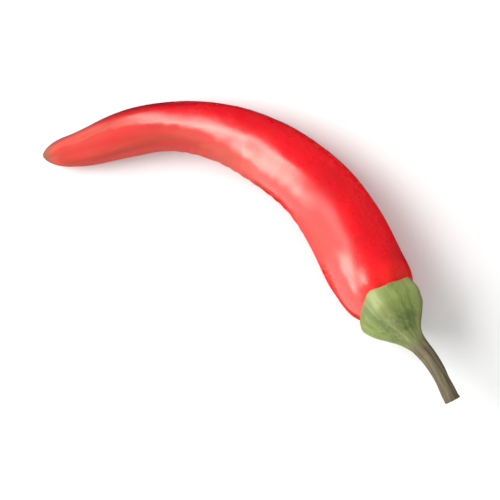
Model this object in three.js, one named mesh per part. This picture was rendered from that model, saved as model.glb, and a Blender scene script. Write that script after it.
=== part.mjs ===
// A ripe red chili pepper, as picked, lying on its side: a hooked glossy pod and the green stem it hung
// by. Millimetres, +Z up. The surface it lies on is Z = 0, and the pod's two ends are furthest apart
// along X. Distances along the pod are measured from the calyx rim towards the tip, and distances
// along the stem from the calyx rim towards the cut end. An angle round either one is 0 at the top and
// grows towards the right-hand side of someone looking along it.
import * as THREE from 'three';
import { mergeVertices } from 'three/addons/utils/BufferGeometryUtils.js';

const { degToRad, smoothstep } = THREE.MathUtils;

// Pod sizes
const POD_LENGTH = 82;
const SHOULDER_DEPTH = 3.6; // closing dome that the calyx covers
const TIP_DEPTH = 4.5; // closing dome at the blossom end
const POD_RADII = [ // distance along the pod, radius
  [0, 5.45], [3.5, 6.95], [8, 7.5], [14, 7.5], [22, 7.15], [30, 6.8], [37, 6.4],
  [44, 5.75], [51, 5.1], [59, 4.65], [67, 4.35], [73, 3.7], [78, 2.8], [82, 2.2],
];
const NUB_LENGTH = 0.6; // what is left of the flower, on the tip
const NUB_RADIUS = 0.45;
const NUB_TAPER = 0.7;

// The pod's way over the surface: the heading it leaves the calyx with, then how far it turns, in
// degrees, from one share of its length to another
const POD_HEADING = 125;
const POD_TURNS = [[-8, 0, 0.14], [31, 0.15, 0.47], [51, 0.4, 0.88], [-12, 0.86, 1]];

// Height of the pod's axis. It presses on the surface under the shoulder, the middle and the tip.
const POD_HEIGHTS = [ // distance along the pod, height
  [-4, 9.95], [0, 8.85], [5, 7.7], [11, 7.2], [19, 7.25], [27, 7.1], [35, 6.5],
  [42, 5.7], [51, 5.35], [60, 5.0], [68, 4.25], [75, 3.25], [82, 2.6],
];

// Three soft lobes, as deep as this share of the radius, and shallow hollows in the skin
const LOBE_COUNT = 3;
const LOBE_DEPTH = 0.022;
const LOBE_TWIST = 0.9; // degrees for each millimetre along the pod
const LOBE_START = 14; // distance at which the lobes have grown out of the round shoulder
const PLAIN_SHOULDER = 2; // distance that has no lobes and hollows at the calyx
const PLAIN_TIP = 8; // and distance over which they fade out at the tip
const HOLLOWS = [ // distance along the pod, angle round it, reach along it, reach round it, depth
  [18, -44, 4, 22, 0.22],
  [29, 58, 7, 30, 0.2],
  [41, -34, 5, 26, 0.18],
  [53, 20, 7, 34, 0.18],
  [65, -30, 5, 36, 0.15],
  [12, 128, 6, 30, 0.22],
];

// Stem sizes: the calyx cap and the stalk that it narrows into
const STEM_LENGTH = 21.4;
const CLEARANCE = 0.32; // between the cap and the pod
const RIM_REACH = 0.1; // how far the cap's sides come down over the pod
const RIM_THICKNESS = 0.42;
const RIM_ROUNDING = 0.1; // how much further the rim's inner edge reaches than its outer edge
const TOP_REACH = 2.55; // the cap sits askew and comes down this much further at the top
const STEM_RADII = [ // distance along the stem, radius
  [0, 6.25], [1.2, 6.25], [2.5, 5.75], [3.9, 4.75], [5.3, 3.5], [6.6, 2.5], [8, 1.95],
  [10, 1.62], [14, 1.42], [18, 1.34], [20.6, 1.42], [21.4, 1.5],
];
const CUT_DISH = 0.15; // how far the middle of the cut end has sunk
const STEM_TURNS = [[7, 0.2, 0.42], [-15, 0.42, 0.78]];
const STEM_HEIGHTS = [[0, 8.85], [4, 9.85], [9, 11.05], [14, 12], [18, 12.5], [22, 12.7]];

// Five ribs run down the cap, and each ends in a tooth on the rim
const RIB_COUNT = 5;
const RIB_HEIGHT = 0.5;
const RIB_TURN = 14; // degrees from the top to the first rib
const RIB_START = 1.5; // distance up the cap at which a rib has its full height
const CAP_LENGTH = 10; // distance at which the cap has become the stalk
const RIB_SHARPNESS = 2.5;
const STALK_RIDGE = 0.12; // height of a rib where it runs on along the stalk
const TOOTH_LENGTH = 0.6;
const RIM_ROOT = 2.6; // distance up the cap at which its rim no longer leans or has teeth

// Steps that the surfaces are divided into
const POD_SIDES = 36;
const POD_RINGS = 50;
const DOME_RINGS = 7;
const STEM_SIDES = 40;
const HOLLOW_RINGS = 6;
const STEM_RINGS = 26;
const AXIS_STEP = 0.25;
const PITCH_SPAN = 1; // length over which the slope of an axis is read

// A smooth curve through [x, y] points, read at x, and straight past its two ends
function through(points, x) {
  const last = points.length - 1;
  const slope = (k) => {
    const a = points[Math.max(k - 1, 0)];
    const b = points[Math.min(k + 1, last)];
    return (b[1] - a[1]) / (b[0] - a[0]);
  };
  if (x <= points[0][0]) return points[0][1] + slope(0) * (x - points[0][0]);
  if (x >= points[last][0]) return points[last][1] + slope(last) * (x - points[last][0]);
  const i = points.findLastIndex(([at]) => at <= x);
  const [x0, y0] = points[i];
  const [x1, y1] = points[i + 1];
  const t = (x - x0) / (x1 - x0);
  return y0 * (1 + 2 * t) * (1 - t) ** 2 + y1 * t * t * (3 - 2 * t)
    + (x1 - x0) * t * (1 - t) * (slope(i) * (1 - t) - slope(i + 1) * t);
}

// The axis of a long piece: where it is and which way it runs at each distance
class Axis {
  constructor(start, heading, turns, heights, length) {
    Object.assign(this, { heading, turns, heights, length });
    this.points = [new THREE.Vector2(start.x, start.y)];
    for (let s = 0; s < length; s += AXIS_STEP) {
      const rise = through(heights, s + AXIS_STEP) - through(heights, s);
      const run = Math.sqrt(AXIS_STEP ** 2 - rise ** 2);
      const angle = this.headingAt(s + AXIS_STEP / 2);
      const step = new THREE.Vector2(Math.cos(angle), Math.sin(angle)).multiplyScalar(run);
      this.points.push(this.points.at(-1).clone().add(step));
    }
  }

  headingAt(s) {
    const share = s / this.length;
    const turned = this.turns.map(([by, from, to]) => by * smoothstep(share, from, to));
    return degToRad(turned.reduce((sum, by) => sum + by, this.heading));
  }

  // Position, direction, and the two directions across it: up, and to the right
  at(s) {
    const angle = this.headingAt(s);
    const rise = through(this.heights, s + PITCH_SPAN / 2) - through(this.heights, s - PITCH_SPAN / 2);
    const pitch = rise / PITCH_SPAN;
    const along = new THREE.Vector3(Math.cos(angle), Math.sin(angle), pitch).normalize();
    const right = new THREE.Vector3(Math.sin(angle), -Math.cos(angle), 0);
    const up = new THREE.Vector3().crossVectors(right, along);
    const k = THREE.MathUtils.clamp(s / AXIS_STEP, 0, this.points.length - 1);
    const i = Math.min(Math.floor(k), this.points.length - 2);
    const flat = this.points[i].clone().lerp(this.points[i + 1], k - i);
    const centre = new THREE.Vector3(flat.x, flat.y, through(this.heights, s));
    if (s < 0) centre.copy(this.at(0).centre).addScaledVector(this.at(0).along, s);
    return { centre, along, right, up };
  }

  // The point at a distance along the axis, an angle round it and a radius from it
  point(s, angle, radius) {
    const { centre, right, up } = this.at(s);
    return centre.addScaledVector(up, radius * Math.cos(angle))
      .addScaledVector(right, radius * Math.sin(angle));
  }
}

// Turns an outline of [radius, distance] points round an axis, and lets place() say where each
// distance, angle and radius goes
function turnedSolid(outline, sides, place) {
  const turned = new THREE.LatheGeometry(outline.map(([r, y]) => new THREE.Vector2(r, y)), sides);
  turned.deleteAttribute('normal');
  turned.deleteAttribute('uv');
  const geometry = mergeVertices(turned);
  const position = geometry.getAttribute('position');
  const vertex = new THREE.Vector3();
  for (let i = 0; i < position.count; i += 1) {
    vertex.fromBufferAttribute(position, i);
    const placed = place(vertex.y, Math.atan2(vertex.x, vertex.z), Math.hypot(vertex.x, vertex.z));
    position.setXYZ(i, placed.x, placed.y, placed.z);
  }
  geometry.computeVertexNormals();
  return geometry;
}

function solidMesh(name, geometry, color, roughness) {
  const material = new THREE.MeshStandardMaterial({ color, roughness, metalness: 0 });
  const mesh = new THREE.Mesh(geometry, material);
  mesh.name = name;
  return mesh;
}

// Radius of the plain pod, with its two closing domes
function podRadius(s) {
  const tipShare = Math.max(s - (POD_LENGTH - TIP_DEPTH), 0) / TIP_DEPTH;
  const shoulderShare = Math.min(s, 0) / SHOULDER_DEPTH;
  const dome = Math.sqrt(Math.max((1 - tipShare ** 2) * (1 - shoulderShare ** 2), 0));
  return through(POD_RADII, s) * dome;
}

// How far the skin stands out from the plain pod
function podRelief(s, angle) {
  const fading = smoothstep(s, POD_LENGTH - PLAIN_TIP, POD_LENGTH);
  const grown = smoothstep(s, PLAIN_SHOULDER, LOBE_START) * (1 - fading);
  const lobe = Math.cos(LOBE_COUNT * (angle + degToRad(LOBE_TWIST * s)));
  const hollows = HOLLOWS.map(([at, turn, length, spread, depth]) => {
    const apart = Math.atan2(Math.sin(angle - degToRad(turn)), Math.cos(angle - degToRad(turn)));
    return depth * Math.exp(-(((s - at) / length) ** 2) - ((apart / degToRad(spread)) ** 2));
  });
  return grown * (LOBE_DEPTH * podRadius(s) * lobe - hollows.reduce((sum, depth) => sum + depth, 0));
}

const podAxis = new Axis({ x: 0, y: 0 }, POD_HEADING, POD_TURNS, POD_HEIGHTS, POD_LENGTH);

function pod() {
  const outline = [[0, -SHOULDER_DEPTH]];
  for (let i = 1; i < DOME_RINGS; i += 1) {
    const s = -SHOULDER_DEPTH * Math.cos((i / DOME_RINGS) * (Math.PI / 2));
    outline.push([podRadius(s), s]);
  }
  const bodyLength = POD_LENGTH - TIP_DEPTH;
  for (let i = 0; i < POD_RINGS; i += 1) {
    const s = (i / POD_RINGS) * bodyLength;
    outline.push([podRadius(s), s]);
  }
  for (let i = 0; i < DOME_RINGS; i += 1) {
    const s = bodyLength + TIP_DEPTH * Math.sin((i / DOME_RINGS) * (Math.PI / 2));
    outline.push([podRadius(s), s]);
  }
  outline.push([NUB_RADIUS, POD_LENGTH], [NUB_RADIUS * NUB_TAPER, POD_LENGTH + NUB_LENGTH]);
  outline.push([0, POD_LENGTH + NUB_LENGTH]);
  const geometry = turnedSolid(outline, POD_SIDES, (s, angle, radius) => {
    const relief = radius > NUB_RADIUS ? podRelief(s, angle) : 0;
    const point = podAxis.point(s, angle, radius + relief);
    point.z = Math.max(point.z, 0); // the skin gives where it lies on the surface
    return point;
  });
  return solidMesh('pod', geometry, 0xd9101c, 0.2);
}

function stem() {
  const start = podAxis.at(0).centre;
  const axis = new Axis(start, POD_HEADING + 180, STEM_TURNS, STEM_HEIGHTS, STEM_LENGTH);

  // Hollow side of the cap, from its middle out over the pod's shoulder to the rim
  const outline = [];
  for (let i = 0; i <= HOLLOW_RINGS; i += 1) {
    const turn = (i / HOLLOW_RINGS) * (Math.PI / 2);
    const depth = SHOULDER_DEPTH * Math.cos(turn);
    const radius = podRadius(-depth) + CLEARANCE * Math.sin(turn);
    outline.push([radius, depth + CLEARANCE * Math.cos(turn)]);
  }
  const rimRadius = podRadius(RIM_REACH) + CLEARANCE;
  const outerEdge = [rimRadius + RIM_THICKNESS, RIM_ROUNDING - RIM_REACH];
  outline.push([rimRadius, -RIM_REACH], outerEdge);

  // Outer side, down to the cut end
  for (let i = 1; i <= STEM_RINGS; i += 1) {
    const y = STEM_RADII[0][0] + (i / STEM_RINGS) * (STEM_LENGTH - STEM_RADII[0][0]);
    outline.push([through(STEM_RADII, y), y]);
  }
  outline.push([0, STEM_LENGTH - CUT_DISH]);

  const geometry = turnedSolid(outline, STEM_SIDES, (y, angle, radius) => {
    const rib = (0.5 + 0.5 * Math.cos(RIB_COUNT * (angle - degToRad(RIB_TURN)))) ** RIB_SHARPNESS;
    const overTop = (0.5 + 0.5 * Math.cos(angle)) ** 2; // 1 at the top and a quarter at the sides
    const lean = (TOP_REACH * (overTop - 0.25)) / 0.75;
    const reach = (TOOTH_LENGTH * rib + lean) * (1 - smoothstep(y, -RIM_REACH, RIM_ROOT));
    const spread = podRadius(reach - y) - podRadius(-y); // keeps the rim's distance from the pod
    const outside = radius > through(STEM_RADII, y) - RIM_THICKNESS / 2;
    const onStalk = smoothstep(y, CAP_LENGTH / 2, CAP_LENGTH);
    const onCap = smoothstep(y, -RIM_REACH, RIB_START) * (1 - onStalk);
    const ridge = outside ? rib * (RIB_HEIGHT * onCap + STALK_RIDGE * onStalk) : 0;
    return axis.point(y - reach, angle, radius + ridge + spread);
  });
  return solidMesh('stem', geometry, 0x7f9a4a, 0.6);
}

const chili = new THREE.Group();
chili.add(pod(), stem());

// The origin goes under the middle of the whole pepper
const box = new THREE.Box3().setFromObject(chili, true);
const middle = box.getCenter(new THREE.Vector3());
for (const mesh of chili.children) mesh.position.set(-middle.x, -middle.y, -box.min.z);

export default chili;
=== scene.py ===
"""A ripe red chili pepper: a hooked, glossy pod with the green calyx and stalk it was picked with.

The pod and the stem are turned from an outline, then bent along the axis that each one grew along.
Distances run from the calyx rim, along the pod towards its tip and along the stem towards its cut
end. An angle round either one is 0 at the top and grows towards the right of someone looking along
it. Shapes are worked out in millimetres, and meshes are in metres.
"""
import math
import random
from functools import lru_cache

import bmesh
import bpy
from bpy.props import FloatProperty, FloatVectorProperty, IntProperty, PointerProperty
from bpy.types import Operator, Panel, PropertyGroup
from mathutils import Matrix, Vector, noise


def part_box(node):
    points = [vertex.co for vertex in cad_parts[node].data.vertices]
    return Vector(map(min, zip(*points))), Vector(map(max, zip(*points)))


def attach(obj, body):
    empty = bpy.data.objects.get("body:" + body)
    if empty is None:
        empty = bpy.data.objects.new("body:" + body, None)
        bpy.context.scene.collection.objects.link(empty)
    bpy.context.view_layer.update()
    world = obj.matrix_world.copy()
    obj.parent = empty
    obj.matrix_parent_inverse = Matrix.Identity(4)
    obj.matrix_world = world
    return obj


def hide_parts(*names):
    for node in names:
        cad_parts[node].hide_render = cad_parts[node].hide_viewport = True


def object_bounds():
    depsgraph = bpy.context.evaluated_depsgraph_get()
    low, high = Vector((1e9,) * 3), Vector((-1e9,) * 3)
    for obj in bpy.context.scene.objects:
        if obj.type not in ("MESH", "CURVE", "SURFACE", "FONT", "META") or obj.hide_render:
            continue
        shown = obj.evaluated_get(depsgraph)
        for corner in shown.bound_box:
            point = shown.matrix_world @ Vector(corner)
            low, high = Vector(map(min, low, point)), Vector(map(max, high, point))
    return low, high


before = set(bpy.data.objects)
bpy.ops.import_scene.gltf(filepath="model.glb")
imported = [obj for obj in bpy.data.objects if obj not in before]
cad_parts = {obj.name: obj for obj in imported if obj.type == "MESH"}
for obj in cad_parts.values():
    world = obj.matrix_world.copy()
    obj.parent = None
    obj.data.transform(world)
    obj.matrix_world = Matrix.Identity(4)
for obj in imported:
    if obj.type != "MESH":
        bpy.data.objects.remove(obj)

bl_info = {
    "name": "Red chili pepper",
    "version": (1, 0, 0),
    "blender": (4, 5, 0),
    "location": "View3D > Sidebar > Chili",
    "description": "Adds a ripe red chili pepper with its calyx and stalk",
    "category": "Add Mesh",
}

MM = 0.001
CAD_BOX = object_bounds()

# Pod sizes, in millimetres: POD_RADII as distance and radius, and NUB as radius and distance
POD_LENGTH = 82
SHOULDER_DEPTH = 3.6
TIP_DEPTH = 4.5
DOME_RINGS = 26
POD_RADII = [
    (0, 5.45), (3.5, 6.95), (8, 7.5), (14, 7.5), (22, 7.15), (30, 6.8), (37, 6.4),
    (44, 5.75), (51, 5.1), (59, 4.65), (67, 4.35), (73, 3.7), (78, 2.8), (82, 2.2),
]
NUB = [(0.62, 81.8), (0.43, 82.0), (0.42, 82.25), (0.36, 82.45), (0.2, 82.57), (0, 82.6)]

# The pod's way over the surface: degrees turned from one share of its length to another
POD_HEADING = 125
POD_TURNS = [(-8, 0, 0.14), (31, 0.15, 0.47), (51, 0.4, 0.88), (-12, 0.86, 1)]
POD_HEIGHTS = [
    (-4, 9.95), (0, 8.85), (5, 7.7), (11, 7.2), (19, 7.25), (27, 7.1), (35, 6.5),
    (42, 5.7), (51, 5.35), (60, 5.0), (68, 4.25), (75, 3.25), (82, 2.6),
]

# The pod's three soft lobes, which turn by the twist's degrees in each millimetre
LOBE_COUNT = 3
LOBE_TWIST = 0.9
LOBE_RISE = (2, 14)
LOBE_FALL = (POD_LENGTH - 8, POD_LENGTH)

# The pod's shallow hollows: distance, angle in degrees, reach along, reach round in degrees, depth
HOLLOWS = [
    (18, -44, 4, 22, 0.22), (29, 58, 7, 30, 0.2), (41, -34, 5, 26, 0.18),
    (53, 20, 7, 34, 0.18), (65, -30, 5, 36, 0.15), (12, 128, 6, 30, 0.22),
]

# Fine relief of the skin
SWELL_WAVES = ((0.24, 1), (0.75, 0.1))  # how close the swells lie, and their share of the height
TIP_CREASES = [  # angle in degrees, and the distances between which the crease runs
    (-62, 46, 79), (-20, 52, 81), (24, 58, 80), (75, 44, 78), (140, 50, 80), (-125, 55, 79),
]
CREASE_REACH = 0.85
PUCKER_COUNT = 11
PUCKER_RISE, PUCKER_FALL = (0.9, 2.6), (3.5, 10)
WRINKLE_RISE, WRINKLE_FALL = (16, 26), (52, 62)
DIMPLE_COUNT = 34
FLANK_DIMPLES = [  # distance, angle in radians, reach and depth
    (13.2, -0.72, 1.3, 0.07), (16.4, -0.62, 1.2, 0.08), (8.2, -0.75, 1.1, 0.06),
]

# Stem sizes, in millimetres. The cap sits askew, and comes down by TOP_REACH more at the top.
STEM_LENGTH = 21.4
RIM_REACH = 0.1
RIM_START = 0.2
RIM_THICKNESS = 0.42
RIM_ROOT = 2.6
TOP_REACH = 2.55
CAP_LENGTH = 10
STEM_RADII = [
    (0, 6.05), (1.2, 6.08), (2.5, 5.65), (3.9, 4.7), (5.3, 3.5), (6.6, 2.5), (8, 1.95),
    (10, 1.62), (14, 1.42), (18, 1.34), (20.6, 1.42), (21.4, 1.5),
]
STEM_TURNS = [(7, 0.2, 0.42), (-15, 0.42, 0.78)]
STEM_HEIGHTS = [(0, 8.85), (4, 9.85), (9, 11.05), (14, 12), (18, 12.5), (22, 12.7)]
CUT_MARGIN = 0.12
CUT_EDGE = (  # how far inward from the stalk's skin, and how far on past its last ring
    (0.06, 0.09), (0.16, 0.12), (0.3, 0.08), (0.5, 0.02), (0.75, -0.02),
)
CUT_FACE = ((0.28, -0.05), (0.2, -0.12), (0, -0.16))  # share of the radius, and how far on

# Ribs of the calyx. Each one ends in a tooth, with its own share of the teeth's length.
RIB_COUNT = 5
RIB_TURN = math.radians(14)
RIB_SHARPNESS = 2.5
RIB_START = 1.5
TOOTH_SHARES = (1.0, 0.7, 1.2, 0.8, 1.1)
VEIN_COUNT = 20
FURROW_COUNT = 9

AXIS_STEP = 0.25

# Turn of the skin's streaks round the pod, in radians for each metre
STREAK_TWIST = 28

# Where the skin's colour, its painted shade and its painted sheen change along the pod: start and
# end of each change, in metres
PAINTED_SHADE_ALONG = (0.026, 0.044)
INNER_WASH_AND_SHEEN = (0.026, 0.046)
EMBER_TIP = (0.045, 0.066)
CALYX_BLUSH = (0.0, 0.010)
PAINTED_FLANK_SHADE = (0.046, 0.060)
SINGED_TIP = (0.0790, 0.0818)
DRY_NUB = (0.0818, 0.0820)
DULL_TIP = (0.060, 0.073)
DULL_BEND = (0.034, 0.043)
DENT_RISE, DENT_FALL = (0.0115, 0.0155), (0.0215, 0.0285)

# The same for the stem, and the radii between which the paler cut face ends
DRY_RIM = (-0.0006, 0.0006)
STALK_COLOUR = (0.0055, 0.0105)
DRY_END = (0.0195, 0.0212)
CUT_START = ((STEM_LENGTH - 0.14) * MM, (STEM_LENGTH - 0.1) * MM)
CUT_RADIUS = (0.00128, 0.00138)

# Reflected strips: name, place, turn and lean in degrees, length, width and share of the power
STRIPS = (
    ("near strip", (-0.66, -0.37, 0.48), 35, 0, 0.83, 0.24, 0.50),
    ("middle strip", (-0.22, 0.05, 0.5), 58, 0, 0.46, 0.18, 0.21),
    ("far strip", (-0.26, 0.62, 0.38), 115, 22, 0.95, 0.14, 0.31),
)
STRIP_COLOUR = (1, 0.96, 0.84)
SURFACE_REACH = 1.5


def smoothstep(x, low, high):
    """0 below low, 1 above high, and a soft rise between them."""
    t = min(max((x - low) / (high - low), 0), 1)
    return t * t * (3 - 2 * t)


def through(points, x):
    """A smooth curve through (x, y) points, read at x, and straight past its two ends."""
    last = len(points) - 1

    def slope(k):
        a, b = points[max(k - 1, 0)], points[min(k + 1, last)]
        return (b[1] - a[1]) / (b[0] - a[0])

    if x <= points[0][0]:
        return points[0][1] + slope(0) * (x - points[0][0])
    if x >= points[last][0]:
        return points[last][1] + slope(last) * (x - points[last][0])
    i = max(k for k in range(last) if points[k][0] <= x)
    (x0, y0), (x1, y1) = points[i], points[i + 1]
    t = (x - x0) / (x1 - x0)
    ends = y0 * (1 + 2 * t) * (1 - t) ** 2 + y1 * t * t * (3 - 2 * t)
    return ends + (x1 - x0) * t * (1 - t) * (slope(i) * (1 - t) - slope(i + 1) * t)


def apart(angle, other):
    """The smallest angle between two directions round an axis."""
    return abs((angle - other + math.pi) % (2 * math.pi) - math.pi)


def hump(distance, reach):
    """1 at no distance, falling away softly over the reach."""
    return math.exp(-((distance / reach) ** 2))


class Axis:
    """The line that a long piece grew along: where it is and which way it runs at each distance."""

    def __init__(self, start, heading, turns, heights, length):
        self.heading, self.turns, self.heights, self.length = heading, turns, heights, length
        self.points = [Vector(start[:2])]
        for step in range(math.ceil(length / AXIS_STEP)):
            s = step * AXIS_STEP
            rise = through(heights, s + AXIS_STEP) - through(heights, s)
            run = math.sqrt(AXIS_STEP**2 - rise**2)
            angle = self.heading_at(s + AXIS_STEP / 2)
            ahead = Vector((math.cos(angle), math.sin(angle)))
            self.points.append(self.points[-1] + ahead * run)

    def heading_at(self, s):
        turned = sum(by * smoothstep(s / self.length, low, high) for by, low, high in self.turns)
        return math.radians(self.heading + turned)

    @lru_cache(maxsize=None)
    def at(self, s):
        """Position, and the directions up and to the right of the axis."""
        angle = self.heading_at(s)
        pitch = through(self.heights, s + 0.5) - through(self.heights, s - 0.5)
        along = Vector((math.cos(angle), math.sin(angle), pitch)).normalized()
        right = Vector((math.sin(angle), -math.cos(angle), 0))
        k = min(max(s / AXIS_STEP, 0), len(self.points) - 1)
        i = min(int(k), len(self.points) - 2)
        flat = self.points[i].lerp(self.points[i + 1], k - i)
        centre = Vector((*flat, through(self.heights, max(s, 0)))) + along * min(s, 0)
        return centre, right.cross(along), right

    def point(self, s, angle, radius):
        centre, up, right = self.at(s)
        return centre + up * (radius * math.cos(angle)) + right * (radius * math.sin(angle))


POD_AXIS = Axis((0, 0), POD_HEADING, POD_TURNS, POD_HEIGHTS, POD_LENGTH)
STEM_AXIS = Axis((0, 0), POD_HEADING + 180, STEM_TURNS, STEM_HEIGHTS, STEM_LENGTH)


def pod_radius(s):
    """Radius of the plain pod, with its two closing domes."""
    tip_share = min(max(s - (POD_LENGTH - TIP_DEPTH), 0) / TIP_DEPTH, 1)
    shoulder_share = max(min(s, 0) / SHOULDER_DEPTH, -1)
    dome = math.sqrt((1 - tip_share**2) * (1 - shoulder_share**2))
    return through(POD_RADII, s) * dome


def pod_form(s, angle, lobe_depth):
    """How far the skin stands out from the plain pod in its main forms."""
    grown = smoothstep(s, *LOBE_RISE) * (1 - smoothstep(s, *LOBE_FALL))
    lobe = math.cos(LOBE_COUNT * (angle + math.radians(LOBE_TWIST * s)))
    hollows = sum(
        depth * hump(s - at, length) * hump(apart(angle, math.radians(turn)), math.radians(spread))
        for at, turn, length, spread, depth in HOLLOWS
    )
    return grown * (lobe_depth * pod_radius(s) * lobe - hollows)


@lru_cache(maxsize=None)
def row_shift(lobe_depth, rings=160, sides=72):
    """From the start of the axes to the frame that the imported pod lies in."""
    points = [
        POD_AXIS.point(s, angle, pod_radius(s) + pod_form(s, angle, lobe_depth))
        for s in (i * POD_LENGTH / rings for i in range(rings + 1))
        for angle in (i * math.tau / sides for i in range(sides))
    ]
    low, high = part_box("pod")
    middle = (low + high) / 2
    own = [(min(p[i] for p in points) + max(p[i] for p in points)) / 2 * MM for i in (0, 1)]
    return Vector((middle.x - own[0], middle.y - own[1], 0))


# Meshes


def turned_skin(outline, sides):
    """A closed skin turned from an outline of (radius, distance) points round the Z axis."""
    bm = bmesh.new()
    verts = [bm.verts.new((radius, 0, distance)) for radius, distance in outline]
    edges = [bm.edges.new(pair) for pair in zip(verts, verts[1:])]
    bmesh.ops.spin(
        bm, geom=verts + edges, cent=(0, 0, 0), axis=(0, 0, 1), angle=math.tau, steps=sides,
        use_merge=True,
    )
    bmesh.ops.remove_doubles(bm, verts=bm.verts, dist=1e-4)
    bmesh.ops.recalc_face_normals(bm, faces=bm.faces)
    return bm


def grow(bm, name, place):
    """Moves each point of a turned skin to where place() says it grew, and makes it a piece."""
    straight = bm.verts.layers.float_vector.new("straight")
    for vert in bm.verts:
        x, y, s = vert.co
        vert[straight] = vert.co * MM
        vert.co = place(s, math.atan2(y, x), math.hypot(x, y))
    for face in bm.faces:
        face.smooth = True
    mesh = bpy.data.meshes.new(name)
    bm.to_mesh(mesh)
    bm.free()
    piece = bpy.data.objects.new(name, mesh)
    bpy.context.scene.collection.objects.link(piece)
    return piece


def dress(piece, node, finish):
    """The piece wears the finish, rides with the root body and stands in for its node, whose
    imported part is hidden.
    """
    piece.data.materials.append(finish.material)
    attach(piece, "root")
    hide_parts(node)


# Shader maths


class Value:
    """A socket of a finish, which takes part in sums as a number does."""

    def __init__(self, finish, socket):
        self.finish = finish
        self.socket = socket

    def maths(self, operation, a, b):
        return self.finish.node("Math", {"operation": operation}, {0: a, 1: b})

    def __add__(self, other):
        return self.maths("ADD", self, other)

    def __radd__(self, other):
        return self.maths("ADD", other, self)

    def __sub__(self, other):
        return self.maths("SUBTRACT", self, other)

    def __rsub__(self, other):
        return self.maths("SUBTRACT", other, self)

    def __mul__(self, other):
        return self.maths("MULTIPLY", self, other)

    def __rmul__(self, other):
        return self.maths("MULTIPLY", other, self)

    def __truediv__(self, other):
        return self.maths("DIVIDE", self, other)

    def __pow__(self, other):
        return self.maths("POWER", self, other)

    def or_more(self, other):
        """The larger of the two."""
        return self.maths("MAXIMUM", self, other)


class Finish:
    """One material, with its nodes written as expressions."""

    def __init__(self, name):
        self.material = bpy.data.materials.new(name)
        self.material.use_nodes = True
        self.tree = self.material.node_tree
        self.shader = self.tree.nodes["Principled BSDF"]

    def node(self, kind, settings=None, inputs=None, output=0):
        """Adds a node, makes its settings, fills its sockets and returns one of its outputs."""
        made = self.tree.nodes.new("ShaderNode" + kind)
        for name, value in (settings or {}).items():
            setattr(made, name, value)
        for socket, value in (inputs or {}).items():
            self.fill(made.inputs[socket], value)
        return Value(self, made.outputs[output])

    def fill(self, socket, value):
        if isinstance(value, Value):
            self.tree.links.new(value.socket, socket)
        else:
            socket.default_value = value

    def set(self, **sockets):
        """Fills sockets of the shader, named with underscores for spaces."""
        for name, value in sockets.items():
            self.fill(self.shader.inputs[name.replace("_", " ")], value)

    def straight(self):
        """Where the point would be if the piece had grown straight: up, right and along."""
        return self.node("Attribute", {"attribute_name": "straight"}, output="Vector")

    def split(self, vector):
        parts = self.node("SeparateXYZ", inputs={"Vector": vector})
        return [Value(self, socket) for socket in parts.socket.node.outputs]

    def stretched(self, vector, x, y, z):
        return self.node("VectorMath", {"operation": "MULTIPLY"}, {0: vector, 1: (x, y, z)})

    def span(self, vector):
        """Distance from the axis that the piece would have if it had grown straight."""
        flat = self.stretched(vector, 1, 1, 0)
        return self.node("VectorMath", {"operation": "LENGTH"}, {0: flat}, "Value")

    def grain(self, vector, size, detail=2.0, roughness=0.5):
        """Noise with features about size metres across."""
        sockets = {"Vector": vector, "Scale": 1 / size, "Detail": detail, "Roughness": roughness}
        return self.node("TexNoise", inputs=sockets)

    def rise(self, value, low, high):
        """0 below low, 1 above high, and a soft rise between them."""
        sockets = {"Value": value, "From Min": low, "From Max": high}
        return self.node("MapRange", {"interpolation_type": "SMOOTHSTEP"}, sockets)

    def blend(self, mask, a, b):
        """Colour a where the mask is 0 and colour b where it is 1."""
        colours = [c if isinstance(c, Value) else (*c, 1) for c in (a, b)]
        sockets = {0: mask, 6: colours[0], 7: colours[1]}
        return self.node("Mix", {"data_type": "RGBA"}, sockets, output=2)

    def relief(self, height, distance):
        """A normal for a height between 0 and 1 that stands for a real distance in metres."""
        return self.node("Bump", inputs={"Height": height, "Distance": distance, "Strength": 1})


# Settings


def colour(name, description, default):
    return FloatVectorProperty(
        name=name, description=description, default=default, subtype="COLOR", size=3, min=0, max=1
    )


def share(name, description, default, high=1.0):
    return FloatProperty(
        name=name, description=description, default=default, subtype="FACTOR", min=0, max=high
    )


def length(name, description, default):
    return FloatProperty(
        name=name, description=description, default=default, unit="LENGTH", min=0, precision=5
    )


def power(name, description, default):
    return FloatProperty(name=name, description=description, default=default, unit="POWER")


class PodSettings(PropertyGroup):
    """What a user would change on the pod."""

    sides: IntProperty(name="Sides", description="Faces round the pod", default=128, min=12)
    rings: IntProperty(
        name="Rings", description="Rings of faces along the pod", default=300, min=40
    )
    lobe_depth: share("Lobes", "Depth of the soft lobes, as a share of the radius", 0.022, 0.1)
    swell: length("Swells", "Height of the slow swells in the skin", 0.00016)
    crease: length("Tip creases", "Depth of the creases that run to the tip", 0.00016)
    pucker: length("Shoulder puckers", "Depth of the folds that run out from the calyx", 0.00012)
    wrinkle: length("Bend wrinkles", "Depth of the wrinkles inside the bend", 0.00005)
    ripe: colour("Ripe red", "Main colour of the skin", (0.90, 0.002, 0.010))
    deep: colour("Deep red", "Colour of the darker patches and streaks", (0.62, 0.0005, 0.008))
    # Partly the skin's own orange tone, partly painted sheen standing in for light bounced off the
    # surface
    coral_and_sheen: colour("Coral", "Colour of the skin inside the bend", (0.57, 0.082, 0.056))
    ember: colour("Ember", "Colour of the skin towards the tip", (0.49, 0.018, 0.007))
    flame: colour("Flame", "Colour of the redder bands towards the tip", (0.56, 0.010, 0.008))
    # Painted shade: the darker red of the outer flank near the tip
    flank: colour("Flank", "Colour of the outer flank near the tip", (0.30, 0.003, 0.010))
    rust: colour("Rust", "Colour of the streaks towards the tip", (0.36, 0.032, 0.011))
    blush: colour("Shoulder blush", "Colour of the skin round the calyx", (0.80, 0.030, 0.014))
    nub: colour("Dry tip", "Colour of the dry nub on the tip", (0.16, 0.07, 0.03))
    roughness: share("Roughness", "How far the skin's wax spreads a reflection", 0.28)


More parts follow.
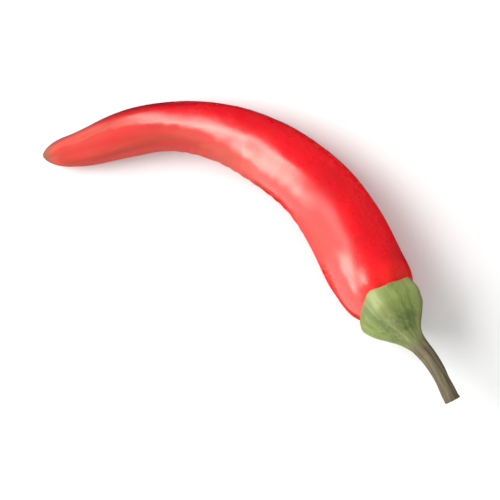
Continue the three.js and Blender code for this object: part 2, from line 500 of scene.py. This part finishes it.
class StemSettings(PropertyGroup):
    """What a user would change on the calyx and the stalk."""

    sides: IntProperty(name="Sides", description="Faces round the stem", default=160, min=20)
    rings: IntProperty(
        name="Rings", description="Rings of faces along the stem", default=190, min=30
    )
    clearance: length("Clearance", "Gap between the calyx and the pod", 0.00018)
    rib_height: length("Ribs", "Height of the ribs on the calyx", 0.0005)
    stalk_ridge: length("Stalk ridges", "Height of the ribs along the stalk", 0.00012)
    tooth_length: length("Teeth", "Length of the teeth on the calyx rim", 0.0006)
    tooth_curl: length("Tooth curl", "How far a tooth's point lifts off the pod", 0.00016)
    vein: length("Veins", "Height of the fine veins between the ribs", 0.00005)
    green: colour("Calyx green", "Main colour of the calyx", (0.215, 0.277, 0.052))
    pale: colour("Pale green", "Colour of the calyx's ribs and worn patches", (0.35, 0.38, 0.15))
    shade: colour("Dark green", "Colour of the hollows between the ribs", (0.115, 0.165, 0.033))
    rim: colour("Rim brown", "Colour of the dry edge of the calyx", (0.27, 0.22, 0.085))
    olive: colour("Stalk olive", "Main colour of the stalk", (0.125, 0.108, 0.045))
    bark: colour("Stalk brown", "Colour of the stalk's dry streaks", (0.09, 0.056, 0.028))
    cut: colour("Cut end", "Colour of the dry cut face", (0.55, 0.47, 0.31))


class StageSettings(PropertyGroup):
    """What a user would change on the stage."""

    lens: FloatProperty(
        name="Lens", description="Focal length", default=0.25, unit="CAMERA", min=0.01
    )
    view_width: length("View", "Width of the surface that the camera sees", 0.094)
    key: power("Key", "Power of the main light", 3.9)
    shine: power("Shine", "Power of the three reflected strips", 22)
    rim_light: power("Rim", "Power of the low reflected panel", 3.8)
    sky: share("Sky", "Strength of the light from all round", 0.74, 4)
    surface: colour("Surface", "Colour of the surface", (0.86, 0.86, 0.86))


# Pod


def pod_outline(rings):
    """The pod's plain outline, from the middle of its shoulder to the end of its nub."""
    nub_start = NUB[0][1]
    body = POD_LENGTH - TIP_DEPTH
    turns = [math.pi / 2 * i / DOME_RINGS for i in range(DOME_RINGS)]
    stations = [-SHOULDER_DEPTH * math.cos(turn) for turn in turns[1:]]
    stations += [body * i / rings for i in range(rings)]
    stations += [body + TIP_DEPTH * math.sin(turn) for turn in turns]
    plain = [(pod_radius(s), s) for s in stations if s < nub_start]
    return [(0, -SHOULDER_DEPTH)] + plain + NUB


def pod_dimples(seed=5):
    """Small shallow dimples of the skin: distance, angle, reach and depth."""
    draw = random.Random(seed)
    ranges = ((6, 74), (-math.pi, math.pi), (0.7, 1.5), (0.01, 0.03))
    scattered = [tuple(draw.uniform(*ends) for ends in ranges) for _ in range(DIMPLE_COUNT)]
    return scattered + FLANK_DIMPLES


def pod_skin_relief(settings):
    """The fine relief of the skin, as a function of distance and angle, in millimetres."""
    swell, crease = settings.swell / MM, settings.crease / MM
    pucker, wrinkle = settings.pucker / MM, settings.wrinkle / MM
    dimples = pod_dimples()

    def relief(s, angle):
        radius = pod_radius(s)
        spot = Vector((radius * math.cos(angle), radius * math.sin(angle), s * 0.55))
        total = sum(swell * part * noise.noise(spot * close) for close, part in SWELL_WAVES)
        for turn, low, high in TIP_CREASES:
            at = math.radians(turn) + 0.12 * math.sin(s * 0.21 + turn)
            window = smoothstep(s, low, low + 14) * (1 - smoothstep(s, high - 5, high))
            total -= crease * window * hump(apart(angle, at) * radius, CREASE_REACH)
        near = smoothstep(s, *PUCKER_RISE) * (1 - smoothstep(s, *PUCKER_FALL))
        folds = math.cos(PUCKER_COUNT * angle + 2.5 * noise.noise(Vector((s * 0.1, angle, 3))))
        total += pucker * near * folds
        inner = hump(apart(angle, -math.pi / 2), 0.9)
        inner *= smoothstep(s, *WRINKLE_RISE) * (1 - smoothstep(s, *WRINKLE_FALL))
        wave = math.sin(2.1 * s + 4 * noise.noise(Vector((s * 0.15, angle * 1.5, 8))))
        total += wrinkle * inner * wave
        for at, turn, reach, depth in dimples:
            if abs(s - at) < 3 * reach:
                total -= depth * hump(math.hypot(s - at, apart(angle, turn) * radius), reach)
        ends = smoothstep(s, 0, 3) * (1 - smoothstep(s, POD_LENGTH - 3, POD_LENGTH - 0.4))
        return total * ends

    return relief


def pod_finish(settings):
    """Waxy red skin with an orange-pink wash on the inner side of the bend and towards the dry tip.
    The inner wash is partly painted sheen, and the red deepening along the pod and the darker outer
    flank near the tip are painted shade.
    """
    skin = Finish("chili_skin")
    straight = skin.straight()
    up, right, along = skin.split(straight)
    side = right / (skin.span(straight) + 0.0001)
    turn = {"Vector": straight, "Angle": along * STREAK_TWIST}
    twisted = skin.node("VectorRotate", {"rotation_type": "Z_AXIS"}, turn)
    patches = skin.grain(straight, 0.011, detail=3)
    streaks = skin.grain(skin.stretched(twisted, 1, 1, 0.08), 0.0016, detail=3, roughness=0.6)
    bands = skin.grain(skin.stretched(twisted, 1, 1, 0.22), 0.0042)
    mottle = skin.grain(straight, 0.0021)
    pores = skin.grain(straight, 0.00042)
    patchy, streaky, mottled = patches - 0.5, streaks - 0.5, mottle - 0.5

    # Painted shade: the red deepens further from the calyx, standing in for shade the key light
    # leaves out there; random patches deepen it too
    deeper_and_shade = 0.8 * skin.rise(along + patchy * 0.01, *PAINTED_SHADE_ALONG)
    deeper_and_shade = skin.rise(patches, 0.42, 0.75).or_more(deeper_and_shade)
    red = skin.blend(deeper_and_shade, settings.ripe, settings.deep)
    red = skin.blend(skin.rise(streaks, 0.52, 0.85) * 0.4, red, settings.deep)
    # Orange-pink wash on the inner side of the bend: partly the skin's own tone, partly painted
    # sheen standing in for light bounced off the surface, which the skin does not reflect
    inner = 1 - skin.rise(side + streaky * 0.7 + patchy * 0.5, -0.75, 0.1)
    wash_and_sheen = inner * (0.5 + 0.5 * skin.rise(along, *INNER_WASH_AND_SHEEN))
    red = skin.blend(wash_and_sheen * 0.9, red, settings.coral_and_sheen)

    ember = skin.blend(skin.rise(bands, 0.5, 0.66), settings.ember, settings.flame)
    ember = skin.blend(0.45 * (1 - skin.rise(bands, 0.38, 0.5)), ember, settings.coral_and_sheen)
    ember = skin.blend(skin.rise(streaks, 0.5, 0.68) * 0.75, ember, settings.rust)
    tip = skin.rise(along + patchy * 0.02 - side * 0.012, *EMBER_TIP)
    red = skin.blend(tip * (1 - 0.6 * (1 - skin.rise(side, -0.95, -0.6))), red, ember)

    near_calyx = 1 - skin.rise(along + streaky * 0.008, *CALYX_BLUSH)
    red = skin.blend(near_calyx * 0.6, red, settings.blush)
    # Painted shade: a darker red on the outer flank near the tip, standing in for the side turned
    # away from the light
    flank_shade = skin.rise(side + streaky * 0.2, 0.62, 0.95) * skin.rise(along, *PAINTED_FLANK_SHADE)
    red = skin.blend(flank_shade * 0.85, red, settings.flank)
    red = skin.blend(skin.rise(along, *SINGED_TIP) * 0.7, red, settings.nub)
    red = skin.blend(skin.rise(along, *DRY_NUB), red, settings.nub)

    dull_tip = skin.rise(along - side * 0.004, *DULL_TIP)
    dull_bend = skin.rise(along * 34 - side + mottled * 0.3, 1.75, 2.0)
    dull_bend = dull_bend * skin.rise(along, *DULL_BEND)
    dull_dent = skin.rise(along, *DENT_RISE) * (1 - skin.rise(along, *DENT_FALL))
    dull_dent = 0.6 * dull_dent * (1 - skin.rise(side + mottled * 0.3, -0.4, 0.1))
    wax = settings.roughness + 0.12 * mottled + 0.12 * patchy
    wax = wax + 0.6 * dull_tip.or_more(dull_bend).or_more(dull_dent)
    height = pores * 0.1 + streaks * 0.5 + mottle * 0.4
    skin.set(
        Base_Color=red, Roughness=wax,
        Normal=skin.relief(height, 0.00004),
        Subsurface_Weight=0.1, Subsurface_Radius=(1.0, 0.12, 0.06), Subsurface_Scale=0.0012,
        IOR=1.45,
    )
    return skin


class MESH_OT_chili_pod(Operator):
    """Adds the pod with its skin"""

    bl_idname = "mesh.chili_pod"
    bl_label = "Add pod"
    bl_options = {"REGISTER", "UNDO"}

    def execute(self, context):
        settings = context.scene.chili_pod
        shift = row_shift(settings.lobe_depth)
        relief = pod_skin_relief(settings)
        nub_radius = NUB[0][0]

        def place(s, angle, radius):
            if radius > nub_radius:
                radius += pod_form(s, angle, settings.lobe_depth) + relief(s, angle)
            point = POD_AXIS.point(s, angle, radius)
            point.z = max(point.z, 0)
            return point * MM + shift

        skin = turned_skin(pod_outline(settings.rings), settings.sides)
        pod = grow(skin, "chili_pod", place)
        dress(pod, "pod", pod_finish(settings))
        return {"FINISHED"}


# Stem


def stem_outline(settings):
    """From the middle of the calyx's hollow side, over its rim and along the stalk to its end."""
    clearance = settings.clearance / MM
    hollow, lip = 24, 7
    outline = []
    for i in range(hollow + 1):
        turn = math.pi / 2 * i / hollow
        depth = SHOULDER_DEPTH * math.cos(turn)
        radius = pod_radius(-depth) + clearance * math.sin(turn)
        outline.append((radius, depth + clearance * math.cos(turn)))
    rim_radius = pod_radius(RIM_REACH) + clearance
    outer_radius = STEM_RADII[0][1]
    middle, half = (rim_radius + outer_radius) / 2, (outer_radius - rim_radius) / 2
    for i in range(lip):
        turn = math.pi * i / (lip - 1)
        y = -RIM_REACH + RIM_START - half * math.sin(turn)
        outline.append((middle - half * math.cos(turn), y))
    end = STEM_LENGTH - CUT_MARGIN
    for i in range(settings.rings + 1):
        y = RIM_START + (end - RIM_START) * i / settings.rings
        outline.append((through(STEM_RADII, y), y))
    cut_radius = STEM_RADII[-1][1]
    outline += [(cut_radius - inward, end + on) for inward, on in CUT_EDGE]
    outline += [(cut_radius * part, end + on) for part, on in CUT_FACE]
    return outline


def stem_place(settings, shift):
    """Where each point of the turned stem grew."""
    rib_height, ridge_height = settings.rib_height / MM, settings.stalk_ridge / MM
    tooth_length, curl = settings.tooth_length / MM, settings.tooth_curl / MM
    vein_height = settings.vein / MM

    def place(y, angle, radius):
        round_rib = angle - RIB_TURN
        rib = (0.5 + 0.5 * math.cos(RIB_COUNT * round_rib)) ** RIB_SHARPNESS
        tooth = TOOTH_SHARES[round(round_rib / math.tau * RIB_COUNT) % RIB_COUNT] * rib
        lean = TOP_REACH * ((0.5 + 0.5 * math.cos(angle)) ** 2 - 0.25) / 0.75
        near_rim = 1 - smoothstep(y, -RIM_REACH, RIM_ROOT)
        reach = (tooth_length * tooth + lean) * near_rim
        spread = pod_radius(reach - y) - pod_radius(-y)
        wall = through(STEM_RADII, max(y, 0)) - RIM_THICKNESS
        outside = smoothstep(radius - wall, 0, RIM_THICKNESS * 0.8)
        on_stalk = smoothstep(y, CAP_LENGTH / 2, CAP_LENGTH)
        on_cap = smoothstep(y, -RIM_REACH, RIB_START) * (1 - on_stalk)
        spot = Vector((radius * math.cos(angle), radius * math.sin(angle), y * 0.4))
        lift = rib * (rib_height * on_cap + ridge_height * on_stalk)
        veins = math.cos(VEIN_COUNT * angle + 1.5 * noise.noise(spot * 0.5))
        lift += on_cap * (vein_height * veins + 0.09 * noise.noise(spot * 0.8))
        furrows = math.cos(FURROW_COUNT * angle + 0.12 * y + 2 * noise.noise(spot * 0.7))
        lift += on_stalk * (0.045 * furrows + 0.08 * noise.noise(spot * 1.1))
        cut = smoothstep(y, STEM_LENGTH - 0.3, STEM_LENGTH - 0.1)
        frayed = cut * 0.07 * noise.noise(spot * 5)
        wave = 0.12 * (1 - smoothstep(y, -RIM_REACH, 1)) * noise.noise(spot * 0.6)
        grown = radius + outside * lift + spread + curl * tooth**2 * near_rim**3
        point = STEM_AXIS.point(y - reach + wave + frayed, angle, grown)
        return point * MM + shift

    return place


def stem_finish(settings):
    """Matt green calyx with paler ribs and a dry rim, and a brownish stalk with a dry cut end."""
    green = Finish("chili_stem_green")
    straight = green.straight()
    up, right, along = green.split(straight)
    angle = green.node("Math", {"operation": "ARCTAN2"}, {0: right, 1: up})
    wave = green.node("Math", {"operation": "COSINE"}, {0: RIB_COUNT * (angle - RIB_TURN)})
    rib = (0.5 + 0.5 * wave) ** 3
    patches = green.grain(straight, 0.0035, detail=3)
    fibres = green.grain(green.stretched(straight, 1, 1, 0.12), 0.00055, detail=3, roughness=0.65)
    specks = green.grain(straight, 0.0006)
    patchy = patches - 0.5

    leaf = green.blend(green.rise(patches, 0.35, 0.65), settings.shade, settings.green)
    leaf = green.blend(green.rise(fibres, 0.45, 0.75) * 0.55, leaf, settings.pale)
    leaf = green.blend(rib * 0.45, leaf, settings.pale)
    leaf = green.blend(green.rise(specks, 0.6, 0.72) * 0.3, leaf, settings.shade)
    edge = 1 - green.rise(along + patchy * 0.0012, *DRY_RIM)
    leaf = green.blend(edge * 0.85, leaf, settings.rim)

    stalk = green.blend(green.rise(fibres, 0.35, 0.7), settings.bark, settings.olive)
    stalk = green.blend(green.rise(patches, 0.5, 0.7) * 0.4, stalk, settings.green)
    to_stalk = green.rise(along + patchy * 0.003, *STALK_COLOUR)
    skin = green.blend(to_stalk, leaf, stalk)
    dry_end = green.rise(along + (fibres - 0.5) * 0.002, *DRY_END)
    skin = green.blend(dry_end * 0.75, skin, settings.bark)

    face = green.rise(along, *CUT_START) * (1 - green.rise(green.span(straight), *CUT_RADIUS))
    speckled = green.blend(green.rise(specks, 0.3, 0.7), settings.cut, settings.bark)
    skin = green.blend(face, skin, green.blend(0.35, settings.cut, speckled))
    roughness = 0.62 - 0.12 * rib + 0.15 * patchy + 0.12 * to_stalk
    green.set(
        Base_Color=skin, Roughness=roughness,
        Normal=green.relief(fibres * 0.7 + specks * 0.3, 0.00010),
        Subsurface_Weight=0.08, Subsurface_Radius=(0.5, 1.0, 0.2), Subsurface_Scale=0.0008,
        Specular_IOR_Level=0.4,
    )
    return green


class MESH_OT_chili_stem(Operator):
    """Adds the calyx and the stalk as one piece"""

    bl_idname = "mesh.chili_stem"
    bl_label = "Add stem"
    bl_options = {"REGISTER", "UNDO"}

    def execute(self, context):
        settings = context.scene.chili_stem
        shift = row_shift(context.scene.chili_pod.lobe_depth)
        skin = turned_skin(stem_outline(settings), settings.sides)
        stem = grow(skin, "chili_stem", stem_place(settings, shift))
        dress(stem, "stem", stem_finish(settings))
        return {"FINISHED"}


# Stage


def soft_light(name, place, turn, lean, length_along, width, power):
    """A rectangular soft light that faces down, leans over to the left and is then turned."""
    data = bpy.data.lights.new(name, "AREA")
    data.shape = "RECTANGLE"
    data.size, data.size_y = length_along, width
    data.energy = power
    light = bpy.data.objects.new(name, data)
    light.location = place
    light.rotation_euler = (0, math.radians(lean), math.radians(turn))
    bpy.context.scene.collection.objects.link(light)
    return light


class SCENE_OT_chili_stage(Operator):
    """Adds the surface, the lights and the camera"""

    bl_idname = "scene.chili_stage"
    bl_label = "Add stage"
    bl_options = {"REGISTER", "UNDO"}

    def execute(self, context):
        settings = context.scene.chili_stage
        scene = context.scene
        pod_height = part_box("pod")[1].z
        aim = ((CAD_BOX[0] + CAD_BOX[1]) / 2) * Vector((1, 1, 0))

        bm = bmesh.new()
        bmesh.ops.create_grid(bm, x_segments=1, y_segments=1, size=SURFACE_REACH)
        mesh = bpy.data.meshes.new("surface")
        bm.to_mesh(mesh)
        bm.free()
        surface = bpy.data.objects.new("surface", mesh)
        scene.collection.objects.link(surface)
        paper = Finish("surface")
        paper.set(Base_Color=(*settings.surface, 1), Roughness=0.7, Specular_IOR_Level=0.2)
        mesh.materials.append(paper.material)
        surface.visible_glossy = False

        camera_data = bpy.data.cameras.new("camera")
        camera_data.lens = settings.lens / MM
        camera = bpy.data.objects.new("camera", camera_data)
        distance = settings.view_width * camera_data.lens / camera_data.sensor_width
        camera.location = aim + Vector((0, 0, distance + pod_height / 2))
        scene.collection.objects.link(camera)
        scene.camera = camera

        key = soft_light("key", (-0.42, 0.1, 0.36), 168, 52, 0.4, 0.4, settings.key)
        key.visible_glossy = False
        for *layout, part in STRIPS:
            strip = soft_light(*layout, settings.shine * part)
            strip.visible_diffuse = False
            strip.data.color = STRIP_COLOUR
        low_place = (-0.35, -0.35, -0.05)
        panel = soft_light("low panel", low_place, 225, 90, 0.6, 0.6, settings.rim_light)
        panel.visible_diffuse = False

        world = bpy.data.worlds.new("sky")
        world.use_nodes = True
        background = world.node_tree.nodes["Background"].inputs
        background["Color"].default_value = (1, 1, 1, 1)
        background["Strength"].default_value = settings.sky
        world.cycles_visibility.glossy = False
        scene.world = world
        scene.view_settings.view_transform = "Standard"
        return {"FINISHED"}


class VIEW3D_PT_chili(Panel):
    """The pepper's settings and buttons in the sidebar"""

    bl_label = "Chili"
    bl_space_type = "VIEW_3D"
    bl_region_type = "UI"
    bl_category = "Chili"

    def draw(self, context):
        for operator in ("mesh.chili_pod", "mesh.chili_stem", "scene.chili_stage"):
            box = self.layout.box()
            settings = getattr(context.scene, operator.split(".")[1])
            for name in settings.__annotations__:
                box.prop(settings, name)
            box.operator(operator)


CLASSES = (
    PodSettings, StemSettings, StageSettings,
    MESH_OT_chili_pod, MESH_OT_chili_stem, SCENE_OT_chili_stage, VIEW3D_PT_chili,
)


def register():
    for each in CLASSES:
        bpy.utils.register_class(each)
    bpy.types.Scene.chili_pod = PointerProperty(type=PodSettings)
    bpy.types.Scene.chili_stem = PointerProperty(type=StemSettings)
    bpy.types.Scene.chili_stage = PointerProperty(type=StageSettings)


def unregister():
    del bpy.types.Scene.chili_pod, bpy.types.Scene.chili_stem, bpy.types.Scene.chili_stage
    for each in reversed(CLASSES):
        bpy.utils.unregister_class(each)


def main():
    register()
    bpy.ops.mesh.chili_pod()
    bpy.ops.mesh.chili_stem()
    bpy.ops.scene.chili_stage()


if __name__ == "__main__":
    main()
